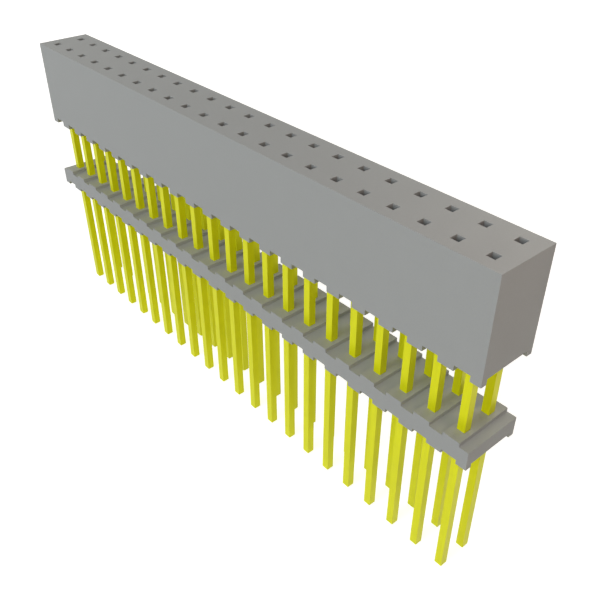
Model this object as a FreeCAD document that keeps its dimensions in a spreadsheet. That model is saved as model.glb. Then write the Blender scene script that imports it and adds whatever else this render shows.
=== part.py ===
import FreeCAD, Part
import os
import types
import Sketcher

# A two-row socket strip held above its board on long square posts. The posts run
# down from the socket through a second, lower strip, which stands on the board
# and keeps them in their grid. Millimetres. X runs along the rows, Y across them
# from the front row to the rear one, and +Z points up. The origin lies on the
# board's surface, under the middle of the contact field, level with the feet of
# the lower strip.

SIZES = [
    ("positions", 22, "contacts in each row"),
    ("pitch", 2.00, "contact to contact along a row"),
    ("row_spacing", 2.00, "front row to rear row"),
    ("end_margin", 1.16, "last contact to the end of a strip"),
    ("side_margin", 1.00, "row to the side of a strip"),
    ("foot_height", 0.36, "how far the feet stand out below the housing"),
    ("spacer_foot_height", 0.26, "how far they stand out below the lower strip"),
    ("foot_thickness", 0.40, "feet, measured across the strip"),
    ("notch_length", 1.00, "gap between two feet, at each contact"),
    ("housing_lift", 5.59, "board to the feet of the housing"),
    ("housing_height", 6.34, "housing with its feet"),
    ("roof_thickness", 0.50, "housing wall above the contacts"),
    ("entry_clearance", 0.005, "entry hole round the pin, each side"),
    ("spacer_height", 1.49, "lower strip with its feet"),
    ("land_length", 1.10, "raised land round each pair of posts"),
    ("groove_depth", 0.25, "groove between two lands"),
    ("spacer_clearance", 0.01, "lower strip round the post, each side"),
    ("post_width", 0.50, "square post, and thickness of the whole contact"),
    ("tail_length", 9.69, "post below the board's surface"),
    ("tip_height", 0.09, "bevel at the end of the post, along it"),
    ("tip_inset", 0.06, "bevel at the end of the post, across it"),
    ("base_width", 1.30, "contact where it is pressed into the housing"),
    ("base_height", 1.20, "the same, along the post"),
    ("base_recess", 0.20, "underside of the housing to the base"),
    ("barb_depth", 0.02, "barb beyond the side of the base"),
    ("barb_ramp", 0.25, "slope of the barb"),
    ("barb_rise", 0.35, "bottom of the base to the barb"),
    ("fork_width", 1.04, "fork at its root, over both tines"),
    ("fork_top_width", 0.96, "fork at its top, over both tines"),
    ("fork_room", 0.04, "housing to the side of the fork"),
    ("blade_clearance", 0.02, "housing to the face of the contact"),
    ("tine_clearance", 0.20, "top of the tines to the roof"),
    ("tine_bevel", 0.08, "bevel outside the top of a tine"),
    ("slot_width", 0.60, "slot between the tines"),
    ("slot_rise", 0.15, "top of the base to the bottom of the slot"),
    ("slot_bevel", 0.14, "bevel at the bottom of the slot"),
    ("pinch_width", 0.40, "slot where the tines grip the pin"),
    ("pinch_height", 1.20, "length of the curved grip along the pin"),
    ("pinch_depth", 0.85, "top of the tines to the middle of the grip"),
    ("mouth_width", 0.72, "slot at the top of the tines"),
]

ORIGIN = -1
VERTICAL_AXIS = -2
START = 1
END = 2
CENTRE = 3


class Measure:
    """A length, as a number and as the formula that ties it to the sheet."""

    def __init__(self, number, formula):
        self.number = number
        self.formula = formula

    def __add__(self, other):
        return Measure(self.number + other.number, f"({self.formula} + {other.formula})")

    def __sub__(self, other):
        return Measure(self.number - other.number, f"({self.formula} - {other.formula})")

    def __mul__(self, other):
        return Measure(self.number * other.number, f"({self.formula} * {other.formula})")

    def __truediv__(self, other):
        return Measure(self.number / other.number, f"({self.formula} / {other.formula})")

    def __neg__(self):
        return Measure(-self.number, f"(-{self.formula})")


def count(number):
    return Measure(number, str(number))


ONE = count(1)
TWO = count(2)
ZERO = count(0)

document = FreeCAD.newDocument("raised_socket_strip")
sheet = document.addObject("Spreadsheet::Sheet", "sizes")
for line, (alias, number, note) in enumerate(SIZES, start=1):
    sheet.set(f"A{line}", note)
    sheet.set(f"B{line}", str(number))
    sheet.setAlias(f"B{line}", alias)
document.recompute()
size = types.SimpleNamespace(**{alias: Measure(number, f"sizes.{alias}") for alias, number, note in SIZES})

# Places that both strips and the contacts share
field_length = (size.positions - ONE) * size.pitch
first_x = -field_length / TWO
row_y = size.row_spacing / TWO
half_length = field_length / TWO + size.end_margin
half_width = row_y + size.side_margin
half_post = size.post_width / TWO
seat_height = size.foot_height + size.base_recess + size.base_height
roof_height = size.housing_height - size.roof_thickness


def new_body(name, x, y, z):
    body = document.addObject("PartDesign::Body", name)
    body.Label = name
    for axis, place in (("x", x), ("y", y), ("z", z)):
        body.setExpression(f"Placement.Base.{axis}", place.formula)
    return body


def origin_feature(body, role):
    return next(feature for feature in body.Origin.OriginFeatures if feature.Role == role)


def new_sketch(body, name, role, height=ZERO):
    sketch = body.newObject("Sketcher::SketchObject", name)
    sketch.AttachmentSupport = [(origin_feature(body, role), "")]
    sketch.MapMode = "FlatFace"
    sketch.setExpression("AttachmentOffset.Base.z", height.formula)
    return sketch


def hold(sketch, kind, edge, point, measure):
    """Keep one point of an edge at a distance from the sketch's origin."""
    constraint = Sketcher.Constraint(kind, ORIGIN, START, edge, point, measure.number)
    index = sketch.addConstraint(constraint)
    sketch.setExpression(f"Constraints[{index}]", measure.formula)


def hold_x(sketch, edge, point, x):
    if x is ZERO:
        sketch.addConstraint(Sketcher.Constraint("PointOnObject", edge, point, VERTICAL_AXIS))
    else:
        hold(sketch, "DistanceX", edge, point, x)


def draw_outline(sketch, corners):
    """Close an outline through corners (x, y), or (x, y, centre x, centre y) where an arc ends.

    An arc runs anticlockwise from the corner before it.
    """
    first = sketch.GeometryCount
    total = len(corners)
    for step in range(total):
        before = corners[step - 1]
        here = corners[step]
        start = FreeCAD.Vector(before[0].number, before[1].number, 0)
        end = FreeCAD.Vector(here[0].number, here[1].number, 0)
        if len(here) == 2:
            sketch.addGeometry(Part.LineSegment(start, end), False)
            continue
        centre = FreeCAD.Vector(here[2].number, here[3].number, 0)
        circle = Part.Circle(centre, FreeCAD.Vector(0, 0, 1), (start - centre).Length)
        arc = Part.ArcOfCircle(circle, circle.parameter(start), circle.parameter(end))
        sketch.addGeometry(arc, False)
    for step in range(total):
        after = (step + 1) % total
        sketch.addConstraint(Sketcher.Constraint("Coincident", first + step, END, first + after, START))
    for step in range(total):
        here = corners[step]
        hold_x(sketch, first + step, END, here[0])
        hold(sketch, "DistanceY", first + step, END, here[1])
        if len(here) > 2:
            hold_x(sketch, first + step, CENTRE, here[2])


def draw_box(sketch, left, right, low, high):
    draw_outline(sketch, [(left, low), (right, low), (right, high), (left, high)])


def draw_pair(sketch, half_x, half_y):
    """A box round the first contact of each row."""
    for row in (-row_y, row_y):
        draw_box(sketch, first_x - half_x, first_x + half_x, row - half_y, row + half_y)


def add_pad(body, sketch, name, length, side="One side"):
    pad = body.newObject("PartDesign::Pad", name)
    pad.Profile = sketch
    pad.SideType = side
    pad.setExpression("Length", length.formula)
    return pad


def add_pocket(body, sketch, name, depth, upward=False, side="One side"):
    pocket = body.newObject("PartDesign::Pocket", name)
    pocket.Profile = sketch
    pocket.Reversed = upward
    pocket.SideType = side
    pocket.setExpression("Length", depth.formula)
    return pocket


def repeat_along_row(body, name, features, occurrences):
    pattern = body.newObject("PartDesign::LinearPattern", name)
    pattern.Originals = features
    pattern.Direction = (origin_feature(body, "X_Axis"), [""])
    pattern.Mode = "Spacing"
    pattern.setExpression("Offset", size.pitch.formula)
    pattern.setExpression("Occurrences", occurrences.formula)
    body.Tip = pattern
    return pattern


def add_footed_block(body, total_height, foot_height):
    """A plain strip, hollowed between its sides and notched at the first contact to leave feet."""
    outline = new_sketch(body, f"{body.Name}_outline", "XY_Plane")
    draw_box(outline, -half_length, half_length, -half_width, half_width)
    add_pad(body, outline, f"{body.Name}_block", total_height)

    inner = half_width - size.foot_thickness
    channel = new_sketch(body, f"{body.Name}_channel_outline", "XY_Plane")
    draw_box(channel, -half_length, half_length, -inner, inner)
    add_pocket(body, channel, f"{body.Name}_channel", foot_height, upward=True)

    half_notch = size.notch_length / TWO
    notch = new_sketch(body, f"{body.Name}_notch_outline", "XY_Plane")
    draw_box(notch, first_x - half_notch, first_x + half_notch, -half_width, half_width)
    return add_pocket(body, notch, f"{body.Name}_notch", foot_height, upward=True)


def make_housing():
    """The socket: a chamber for each contact, open below, with a square entry in the roof."""
    body = new_body("socket_housing", ZERO, ZERO, size.housing_lift)
    notch = add_footed_block(body, size.housing_height, size.foot_height)
    half_blade = half_post + size.blade_clearance

    base_chamber = new_sketch(body, "base_chamber_outline", "XY_Plane", size.foot_height)
    draw_pair(base_chamber, size.base_width / TWO + size.barb_depth, half_blade)
    base_depth = seat_height - size.foot_height
    base_pocket = add_pocket(body, base_chamber, "base_chamber", base_depth, upward=True)

    fork_chamber = new_sketch(body, "fork_chamber_outline", "XY_Plane", seat_height)
    draw_pair(fork_chamber, size.fork_width / TWO + size.fork_room, half_blade)
    fork_depth = roof_height - seat_height
    fork_pocket = add_pocket(body, fork_chamber, "fork_chamber", fork_depth, upward=True)

    half_entry = half_post + size.entry_clearance
    entry = new_sketch(body, "entry_outline", "XY_Plane", size.housing_height)
    draw_pair(entry, half_entry, half_entry)
    entry_pocket = add_pocket(body, entry, "entry", size.roof_thickness)

    cuts = [notch, base_pocket, fork_pocket, entry_pocket]
    repeat_along_row(body, "housing_cuts", cuts, size.positions)
    return body


def make_spacer():
    """The lower strip: a land with two post holes at each position and a groove between lands."""
    body = new_body("tail_spacer", ZERO, ZERO, ZERO)
    notch = add_footed_block(body, size.spacer_height, size.spacer_foot_height)

    half_hole = half_post + size.spacer_clearance
    holes = new_sketch(body, "post_holes_outline", "XY_Plane", size.spacer_height)
    draw_pair(holes, half_hole, half_hole)
    hole_pocket = add_pocket(body, holes, "post_holes", size.spacer_height)
    repeat_along_row(body, "spacer_cuts", [notch, hole_pocket], size.positions)

    # One groove more than there are positions: the outer two run off the ends
    groove_start = first_x - size.pitch + size.land_length / TWO
    groove_end = first_x - size.land_length / TWO
    groove = new_sketch(body, "groove_outline", "XY_Plane", size.spacer_height)
    draw_box(groove, groove_start, groove_end, -half_width, half_width)
    groove_pocket = add_pocket(body, groove, "groove", size.groove_depth)
    repeat_along_row(body, "grooves", [groove_pocket], size.positions + ONE)
    return body


def fork_corners():
    """Right half of the contact seen from the front, up from the tip and back down the axis."""
    base_z = size.tail_length + size.housing_lift + size.foot_height + size.base_recess
    barb_z = base_z + size.barb_rise
    seat_z = base_z + size.base_height
    top_z = size.tail_length + size.housing_lift + roof_height - size.tine_clearance
    half_base = size.base_width / TWO
    half_barb = half_base + size.barb_depth
    half_fork = size.fork_width / TWO
    half_top = size.fork_top_width / TWO
    half_slot = size.slot_width / TWO
    slot_z = seat_z + size.slot_rise

    # The grip is a shallow arc that stands out from the wall of the slot
    grip_z = top_z - size.pinch_depth
    half_grip = size.pinch_height / TWO
    bulge = half_slot - size.pinch_width / TWO
    grip_radius = (half_grip * half_grip + bulge * bulge) / (TWO * bulge)
    grip_centre = half_slot - bulge + grip_radius

    return [
        (half_post - size.tip_inset, ZERO),
        (half_post, size.tip_height),
        (half_post, base_z),
        (half_base, base_z),
        (half_base, barb_z),
        (half_barb, barb_z),
        (half_base, barb_z + size.barb_ramp),
        (half_base, seat_z),
        (half_fork, seat_z),
        (half_top, top_z - size.tine_bevel),
        (half_top - size.tine_bevel, top_z),
        (size.mouth_width / TWO, top_z),
        (half_slot, grip_z + half_grip),
        (half_slot, grip_z - half_grip, grip_centre, grip_z),
        (half_slot, slot_z + size.slot_bevel),
        (half_slot - size.slot_bevel, slot_z),
        (ZERO, slot_z),
        (ZERO, ZERO),
    ]


def make_contact(name, column, row):
    """One blade as thick as its post: tip, post, barbed base and a fork that grips a pin."""
    x = first_x + count(column) * size.pitch
    body = new_body(name, x, row, -size.tail_length)
    profile = new_sketch(body, f"{name}_profile", "XZ_Plane")
    draw_outline(profile, fork_corners())
    blade = add_pad(body, profile, f"{name}_blade", size.post_width, side="Symmetric")

    bevel = new_sketch(body, f"{name}_bevel_outline", "YZ_Plane")
    inner = half_post - size.tip_inset
    draw_outline(bevel, [(inner, ZERO), (half_post, ZERO), (half_post, size.tip_height)])
    draw_outline(bevel, [(-inner, ZERO), (-half_post, size.tip_height), (-half_post, ZERO)])
    bevels = add_pocket(body, bevel, f"{name}_bevels", size.post_width, side="Symmetric")

    mirrored = body.newObject("PartDesign::Mirrored", f"{name}_halves")
    mirrored.Originals = [blade, bevels]
    mirrored.MirrorPlane = (origin_feature(body, "YZ_Plane"), [""])
    body.Tip = mirrored
    return body


pieces = [make_housing(), make_spacer()]
for row_name, row in (("front", -row_y), ("rear", row_y)):
    for column in range(int(size.positions.number)):
        pieces.append(make_contact(f"contact_{row_name}_{column + 1:02d}", column, row))
document.recompute()

for item in document.Objects:
    if "Invalid" in item.State or "Error" in item.State:
        raise RuntimeError(f"{item.Label} did not build")
for piece in pieces:
    if piece.Shape.isNull() or not piece.Shape.isValid():
        raise RuntimeError(f"{piece.Label} has no valid shape")

os.makedirs("parts", exist_ok=True)
for piece in pieces:
    piece.Shape.exportStep(f"parts/{piece.Label}.step")
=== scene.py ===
import bpy
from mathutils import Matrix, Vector


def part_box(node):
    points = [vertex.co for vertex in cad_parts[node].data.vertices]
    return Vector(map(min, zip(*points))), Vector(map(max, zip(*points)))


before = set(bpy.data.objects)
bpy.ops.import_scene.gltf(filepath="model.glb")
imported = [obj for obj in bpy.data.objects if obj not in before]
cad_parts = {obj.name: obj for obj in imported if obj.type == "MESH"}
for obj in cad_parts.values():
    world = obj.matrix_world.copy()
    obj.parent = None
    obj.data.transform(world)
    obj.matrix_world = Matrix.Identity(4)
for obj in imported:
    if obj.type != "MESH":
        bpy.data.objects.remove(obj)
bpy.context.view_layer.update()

# Lengths are metres in the part's own frame: X along the rows, Y from the front
# row to the rear one, Z up, with the board's surface at zero.
MM = 0.001
STRIP_MIDDLE = Vector((0, 0, 3)) * MM

# The photograph is square. Its camera stands to the right of the near end and
# above it, and looks down along the strip.
CAMERA_PLACE = Vector((36.216, -25.325, 28.763)) * MM
CAMERA_TARGET = Vector((6.946, 0.0, 1.684)) * MM
PHOTO_WIDTH = 600
FOCAL_PIXELS = 739.0
SENSOR_WIDTH = 36.0
NEAREST_SEEN = 1 * MM

# The floor lies under the posts' tips. The camera and glosses see pale paper that
# glows, more with the distance, and all other rays meet a plain darker paper.
FLOOR_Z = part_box("contact_front_01")[0].z
FLOOR_SIZE = 4000 * MM
FLOOR_PAPER = (0.3, 0.3, 0.3)
BACKDROP_PAPER = (0.7, 0.7, 0.7)
BACKDROP_GLOW = (0.74, 1.0)
GLOW_REACH = (60 * MM, 300 * MM)
WHITE = (1, 1, 1)
ROOM_GLOW = (0.120, 0.112, 0.104)

# The finishes' colours: each is the share of red, green and blue that comes back
GREY_PLASTIC = (0.361, 0.369, 0.363)
YELLOW_PLATING = (0.77, 0.78, 0.0)

# Moulded plastic: how fine its mottling and grain are, in features to the
# millimetre, how far they change its tone and roughness, and the grain's relief
MOTTLE_PER_MM = 0.7
MOTTLE_DETAIL = 3.0
GRAIN_PER_MM = 9.0
PLASTIC_TONE = (0.985, 1.015)
PLASTIC_ROUGHNESS = (0.51, 0.59)
GRAIN_STRENGTH = 0.25
GRAIN_HEIGHT = 0.01 * MM

# Plated wire: the same for its streaks, which are stretched along the post, and for
# a slow drift of its tone. It is partly metal, and its gloss is weak.
STREAKS_PER_MM = 12.0
STREAK_STRETCH = (1, 1, 0.03)
DRIFT_PER_MM = 0.9
STREAK_TONE = (0.97, 1.03)
DRIFT_TONE = (0.98, 1.02)
PLATING_ROUGHNESS = (0.38, 0.48)
PLATING_METAL = 0.3
PLATING_GLOSS = 0.25
STREAK_STRENGTH = 0.15
STREAK_HEIGHT = 0.005 * MM

# Most of a noise lies between these two values
NOISE_RANGE = (0.3, 0.7)

# The entries go down through the housing's roof. They lie further in from its sides
# than the margin. The painted shade is the share of the plastic's colour that is left at their
# foot.
HOUSING_BOTTOM, HOUSING_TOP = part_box("socket_housing")
HOUSING_MIDDLE = (HOUSING_BOTTOM.z + HOUSING_TOP.z) / 2
ROOF_THICKNESS = 0.5 * MM
ENTRY_MARGIN = 0.6 * MM
PAINTED_ENTRY_SHADE = 0.45


def aim(item, target):
    """Turn a camera or a lamp so that it looks at a point with its top side up."""
    item.rotation_euler = (target - item.location).to_track_quat("-Z", "Y").to_euler()


def make_camera():
    """The photograph's camera, with its focal length carried from pixels to the sensor."""
    data = bpy.data.cameras.new("camera")
    data.sensor_fit = "HORIZONTAL"
    data.sensor_width = SENSOR_WIDTH
    data.lens = FOCAL_PIXELS / PHOTO_WIDTH * SENSOR_WIDTH
    data.clip_start = NEAREST_SEEN
    camera = bpy.data.objects.new("camera", data)
    camera.location = CAMERA_PLACE
    aim(camera, CAMERA_TARGET)
    bpy.context.scene.collection.objects.link(camera)
    bpy.context.scene.camera = camera


def make_lamp(name, place, sides, power, color):
    """A soft rectangular lamp, in millimetres and watts, that looks at the strip's middle."""
    data = bpy.data.lights.new(name, "AREA")
    data.shape = "RECTANGLE"
    data.size, data.size_y = (side * MM for side in sides)
    data.energy = power
    data.color = color
    lamp = bpy.data.objects.new(name, data)
    lamp.location = Vector(place) * MM
    aim(lamp, STRIP_MIDDLE)
    bpy.context.scene.collection.objects.link(lamp)


def new_nodes(owner):
    """Clear a material's or a world's node tree and return it."""
    owner.use_nodes = True
    owner.node_tree.nodes.clear()
    return owner.node_tree


def add(tree, kind, inputs=None, **values):
    """Add a node, set its properties, and set or link its inputs."""
    node = tree.nodes.new(kind)
    for name, value in values.items():
        setattr(node, name, value)
    for name, value in (inputs or {}).items():
        if isinstance(value, bpy.types.NodeSocket):
            tree.links.new(value, node.inputs[name])
        else:
            node.inputs[name].default_value = value
    return node


def math(tree, operation, *numbers):
    """The result of a Math node on numbers or sockets."""
    return add(tree, "ShaderNodeMath", dict(enumerate(numbers)), operation=operation).outputs[0]


def carry(tree, value, old, new):
    """Carry a value from one range onto another in a straight line, and hold it at the ends."""
    values = {"Value": value, "From Min": old[0], "From Max": old[1]}
    values.update({"To Min": new[0], "To Max": new[1]})
    return add(tree, "ShaderNodeMapRange", values).outputs[0]


def background_ray(tree):
    """One for a ray that comes from the camera or from a gloss, else zero."""
    path = add(tree, "ShaderNodeLightPath").outputs
    return math(tree, "MAXIMUM", path["Is Camera Ray"], path["Is Glossy Ray"])


def make_world():
    """White to the camera and in reflections, and a dim warm glow for everything else."""
    world = bpy.data.worlds.new("white_room")
    bpy.context.scene.world = world
    tree = new_nodes(world)
    white = add(tree, "ShaderNodeBackground", {"Color": (*WHITE, 1), "Strength": 1.0})
    glow = add(tree, "ShaderNodeBackground", {"Color": (*ROOM_GLOW, 1), "Strength": 1.0})
    both = {0: background_ray(tree), 1: glow.outputs[0], 2: white.outputs[0]}
    mix = add(tree, "ShaderNodeMixShader", both)
    add(tree, "ShaderNodeOutputWorld", {"Surface": mix.outputs[0]})


def make_floor():
    """A wide sheet of paper under the tips, lit from behind to the camera and in reflections.

    There its glow and the light that falls on it add up to white, or to a little less in
    the strip's shadow. The glow grows with the distance as the lamps' light falls off.
    """
    half = FLOOR_SIZE / 2
    sides = ((-half, -half), (half, -half), (half, half), (-half, half))
    mesh = bpy.data.meshes.new("floor")
    mesh.from_pydata([(x, y, FLOOR_Z) for x, y in sides], [], [(0, 1, 2, 3)])
    floor = bpy.data.objects.new("floor", mesh)
    bpy.context.scene.collection.objects.link(floor)
    material = bpy.data.materials.new("floor_paper")
    tree = new_nodes(material)
    paper = add(tree, "ShaderNodeBsdfDiffuse", {"Color": (*FLOOR_PAPER, 1)})
    pale = add(tree, "ShaderNodeBsdfDiffuse", {"Color": (*BACKDROP_PAPER, 1)})
    places = add(tree, "ShaderNodeTexCoord").outputs["Object"]
    away = add(tree, "ShaderNodeVectorMath", {0: places}, operation="LENGTH").outputs["Value"]
    level = carry(tree, away, GLOW_REACH, BACKDROP_GLOW)
    glow = add(tree, "ShaderNodeEmission", {"Strength": level})
    white = add(tree, "ShaderNodeAddShader", {0: pale.outputs[0], 1: glow.outputs[0]})
    both = {0: background_ray(tree), 1: paper.outputs[0], 2: white.outputs[0]}
    mix = add(tree, "ShaderNodeMixShader", both)
    add(tree, "ShaderNodeOutputMaterial", {"Surface": mix.outputs[0]})
    mesh.materials.append(material)


def noise(tree, places, per_mm, detail=2.0):
    """Noise from zero to one, with this many features to the millimetre."""
    values = {"Vector": places, "Scale": per_mm / MM, "Detail": detail}
    return add(tree, "ShaderNodeTexNoise", values).outputs[0]


def spread(tree, value, limits):
    """Carry the middle of a noise onto a range."""
    return carry(tree, value, NOISE_RANGE, limits)


def times(tree, one, other):
    """The product of two numbers or sockets."""
    return math(tree, "MULTIPLY", one, other)


def shade(tree, color, factor):
    """A colour made lighter or darker by a factor that changes over the surface."""
    values = {0: color, "Scale": factor}
    return add(tree, "ShaderNodeVectorMath", values, operation="SCALE").outputs[0]


def painted_entry_shade(tree, places):
    """Painted shade: one on the outside of the housing, and less down its entries.

    The photograph shows them darker than the lamps alone make them. Inside the margin
    and above the housing's middle the shade falls in a straight line with the depth
    below the top face, down to the roof's underside.
    """
    axes = add(tree, "ShaderNodeSeparateXYZ", {0: places}).outputs
    inside = math(tree, "GREATER_THAN", axes[2], HOUSING_MIDDLE)
    for axis, reach in ((axes[0], HOUSING_TOP.x), (axes[1], HOUSING_TOP.y)):
        away = math(tree, "ABSOLUTE", axis)
        near = math(tree, "LESS_THAN", away, reach - ENTRY_MARGIN)
        inside = times(tree, near, inside)
    roof = (HOUSING_TOP.z - ROOF_THICKNESS, HOUSING_TOP.z)
    loss = carry(tree, axes[2], roof, (PAINTED_ENTRY_SHADE - 1.0, 0.0))
    return math(tree, "MULTIPLY_ADD", inside, loss, 1.0)


def finish_material(material, values):
    """Give a material its surface shader with these inputs, and return it."""
    shader = add(material.node_tree, "ShaderNodeBsdfPrincipled", values)
    add(material.node_tree, "ShaderNodeOutputMaterial", {"Surface": shader.outputs[0]})
    return material


def moulded_plastic(name, color, entries=False):
    """Matt moulded plastic: soft mottling, and the fine grain of a spark-eroded mould."""
    material = bpy.data.materials.new(name)
    tree = new_nodes(material)
    places = add(tree, "ShaderNodeTexCoord").outputs["Object"]
    mottle = noise(tree, places, MOTTLE_PER_MM, MOTTLE_DETAIL)
    grain = noise(tree, places, GRAIN_PER_MM)
    tone = times(tree, spread(tree, mottle, PLASTIC_TONE), spread(tree, grain, PLASTIC_TONE))
    # Painted shade down the housing's entries, multiplied into the plastic's colour
    if entries:
        tone = times(tree, tone, painted_entry_shade(tree, places))
    relief = {"Strength": GRAIN_STRENGTH, "Distance": GRAIN_HEIGHT, "Height": grain}
    return finish_material(material, {
        "Base Color": shade(tree, color, tone),
        "Roughness": spread(tree, mottle, PLASTIC_ROUGHNESS),
        "Normal": add(tree, "ShaderNodeBump", relief).outputs[0],
    })


def drawn_plating(name, color):
    """Yellow plating over drawn wire: fine streaks along the post and a slow change of tone."""
    material = bpy.data.materials.new(name)
    tree = new_nodes(material)
    places = add(tree, "ShaderNodeTexCoord").outputs["Object"]
    stretch = {"Vector": places, "Scale": STREAK_STRETCH}
    streaks = noise(tree, add(tree, "ShaderNodeMapping", stretch).outputs[0], STREAKS_PER_MM)
    drift = noise(tree, places, DRIFT_PER_MM)
    tone = times(tree, spread(tree, streaks, STREAK_TONE), spread(tree, drift, DRIFT_TONE))
    relief = {"Strength": STREAK_STRENGTH, "Distance": STREAK_HEIGHT, "Height": streaks}
    return finish_material(material, {
        "Base Color": shade(tree, color, tone),
        "Metallic": PLATING_METAL,
        "Specular IOR Level": PLATING_GLOSS,
        "Roughness": spread(tree, streaks, PLATING_ROUGHNESS),
        "Normal": add(tree, "ShaderNodeBump", relief).outputs[0],
    })


def dress(material, names):
    """Give a material to nodes of the frame."""
    for name in names:
        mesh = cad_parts[name].data
        mesh.materials.clear()
        mesh.materials.append(material)


make_camera()
make_world()
make_floor()

# The front, right and end lamps light what the photograph shows. The left and rear
# lamps light the sides that it hides, and some of the top.
make_lamp("front_lamp", (38, -180, 100), (220, 220), 0.344, (0.85, 0.93, 1.0))
make_lamp("left_lamp", (-180, 5, 22), (60, 60), 0.09, (1.0, 0.93, 0.82))
make_lamp("right_lamp", (160, -160, 60), (120, 120), 0.0726, (1.0, 0.72, 0.4))
make_lamp("rear_lamp", (0, 190, 75), (220, 120), 0.2, (1.0, 0.95, 0.80))
make_lamp("end_lamp", (40, -4, 34), (10, 10), 0.0015, (1.0, 0.66, 0.58))
bpy.context.scene.view_settings.view_transform = "Standard"

contacts = [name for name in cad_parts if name.startswith("contact")]
# The housing's plastic gets painted shade down its entries
dress(moulded_plastic("housing_plastic", GREY_PLASTIC, entries=True), ["socket_housing"])
dress(moulded_plastic("spacer_plastic", GREY_PLASTIC), ["tail_spacer"])
dress(drawn_plating("contact_plating", YELLOW_PLATING), contacts)
